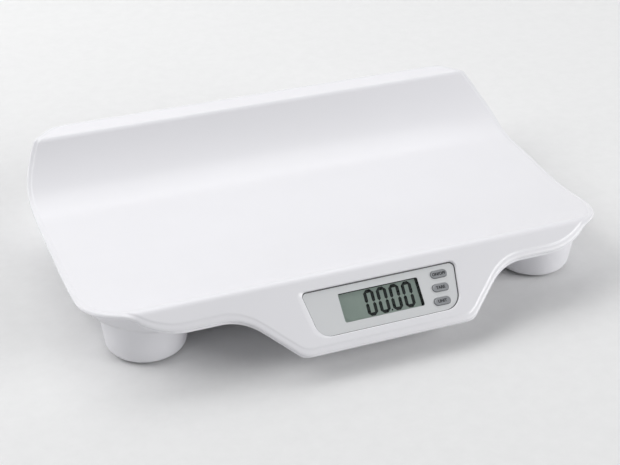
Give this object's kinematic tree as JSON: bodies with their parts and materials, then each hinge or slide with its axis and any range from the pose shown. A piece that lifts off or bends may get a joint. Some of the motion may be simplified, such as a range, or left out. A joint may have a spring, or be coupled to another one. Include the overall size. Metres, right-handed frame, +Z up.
{
  "type": "digital baby weighing scale",
  "caption": "Shallow white trough with a curled back rim and a leaning front readout with oval push buttons, on a low housing with round feet over load cells.",
  "frame": {"origin": "on the ground under the middle of the scale, the centre of its bounding box seen from above", "axes": "+X along the tray to the right of someone reading the display, +Y from the display to the back wall, +Z up"},
  "size_m": [0.5632, 0.4014, 0.1037],
  "materials": {
    "white_shell": "glossy white ABS, the tray",
    "lower_shell": "glossy white ABS, the lower housing and the battery door",
    "overlay": "light grey-green printed film, satin",
    "lens": "clear flat window",
    "lcd_glass": "grey-green liquid crystal cell with dark segments",
    "frame_plastic": "moulded ABS",
    "rubber_strip": "banded conductive rubber",
    "circuit_board": "glass-fibre board, green solder mask",
    "board_parts": "moulded chips, sockets and capacitors",
    "silicone": "silicone rubber",
    "contact_metal": "nickel-plated spring steel",
    "screw_steel": "zinc-plated screws",
    "button": "grey ABS caps with a lighter rim",
    "load_cell_steel": "stamped steel with its strain gauge",
    "foot_plastic": "pale grey ABS",
    "foot_rubber": "rubber pad",
    "cable": "PVC-covered leads",
    "battery_can": "steel can with a plain sleeve"
  },
  "bodies": {
    "scale_body": {"tray": "white_shell", "base": "lower_shell", "display_panel": "overlay", "display_lens": "lens", "lcd_cell": "lcd_glass", "lcd_frame": "frame_plastic", "lcd_connectors": "rubber_strip", "main_board": "circuit_board", "board_parts": "board_parts", "key_mat": "silicone", "key_contacts": "contact_metal", "board_screws": "screw_steel", "load_cell_front_left": "load_cell_steel", "load_cell_front_right": "load_cell_steel", "load_cell_back_left": "load_cell_steel", "load_cell_back_right": "load_cell_steel", "foot_front_left": "foot_plastic", "foot_front_right": "foot_plastic", "foot_back_left": "foot_plastic", "foot_back_right": "foot_plastic", "foot_pad_front_left": "foot_rubber", "foot_pad_front_right": "foot_rubber", "foot_pad_back_left": "foot_rubber", "foot_pad_back_right": "foot_rubber", "cell_cable_front_left": "cable", "cell_cable_front_right": "cable", "cell_cable_back_left": "cable", "cell_cable_back_right": "cable", "cell_screws": "screw_steel", "shell_screws": "screw_steel", "battery_1": "battery_can", "battery_2": "battery_can", "battery_3": "battery_can", "battery_4": "battery_can", "battery_springs": "contact_metal", "battery_plates": "contact_metal", "battery_cable": "cable"},
    "power_key": {"power_button": "button"},
    "tare_key": {"tare_button": "button"},
    "unit_key": {"unit_button": "button"},
    "door": {"battery_door": "lower_shell"}
  },
  "joints": [
    {"name": "power_press", "type": "slide", "parent": "scale_body", "child": "power_key", "axis": [0, 0.6626, -0.749], "range_m": [0, 0.0008], "stiffness_N_per_m": 1500, "springref_m": -0.0003},
    {"name": "tare_press", "type": "slide", "parent": "scale_body", "child": "tare_key", "axis": [0, 0.6626, -0.749], "range_m": [0, 0.0008], "stiffness_N_per_m": 1500, "springref_m": -0.0003},
    {"name": "unit_press", "type": "slide", "parent": "scale_body", "child": "unit_key", "axis": [0, 0.6626, -0.749], "range_m": [0, 0.0008], "stiffness_N_per_m": 1500, "springref_m": -0.0003},
    {"name": "battery_door_slide", "type": "slide", "parent": "scale_body", "child": "door", "axis": [0, 1, 0], "range_m": [0, 0.06]}
  ]
}
